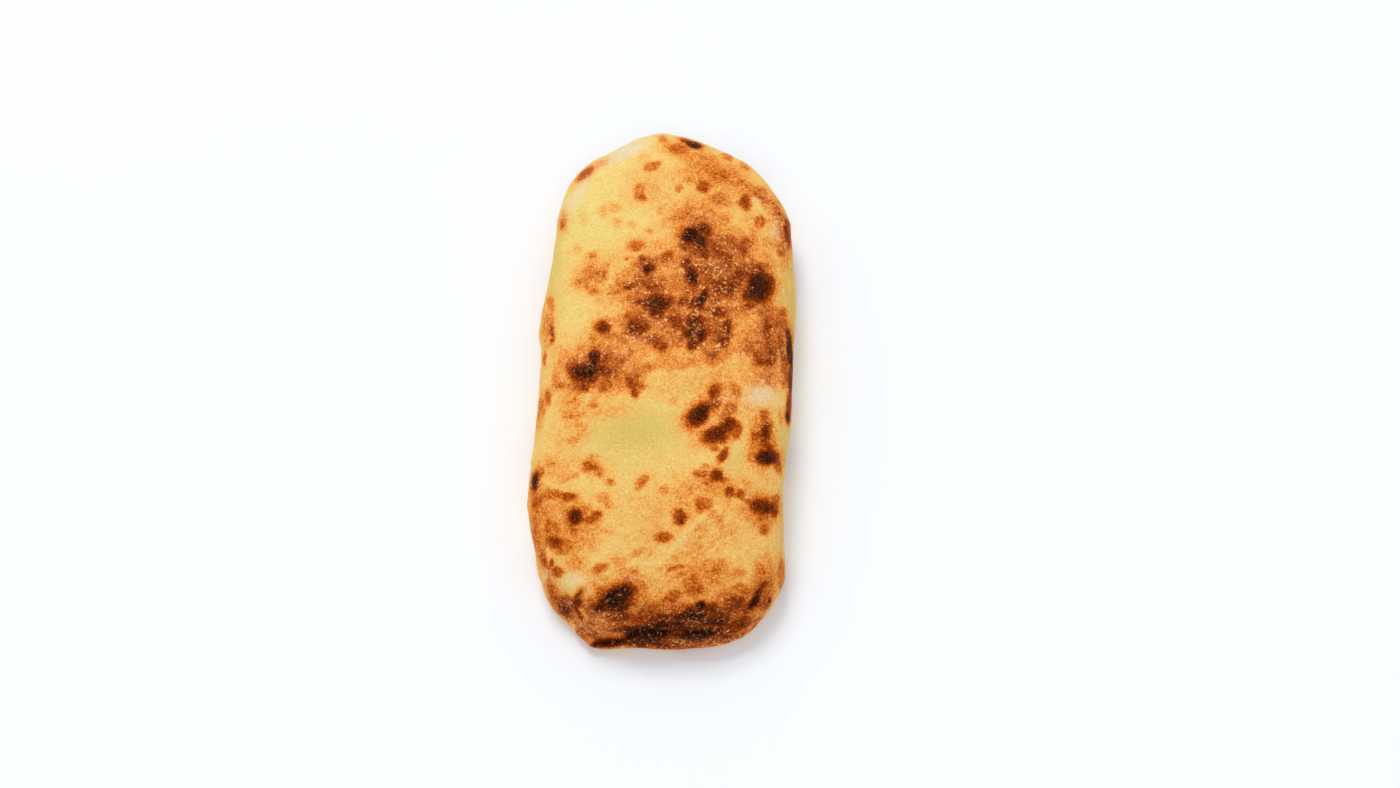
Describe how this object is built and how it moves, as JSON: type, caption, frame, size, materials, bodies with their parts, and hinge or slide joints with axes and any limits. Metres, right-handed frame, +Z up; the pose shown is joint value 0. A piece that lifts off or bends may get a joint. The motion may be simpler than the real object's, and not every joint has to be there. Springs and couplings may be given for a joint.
{
  "type": "pizza bread roll",
  "caption": "Long flat loaf of puffed, stone-baked pizza dough with scorched blisters, a folded seam at one end and a flat base, served whole or split and filled.",
  "frame": {"origin": "on the flat base, under the middle of the loaf's box", "axes": "+Z up, +Y along the loaf from the end with the folded seam to the plain end, +X to the right"},
  "size_m": [0.1084, 0.222, 0.045],
  "materials": {
    "crust": "baked bread crust: pale yellow to golden dough, toasted orange-brown patches and dark scorched blisters, matte with a faint sheen"
  },
  "bodies": {
    "root": {"loaf": "crust"}
  },
  "joints": []
}
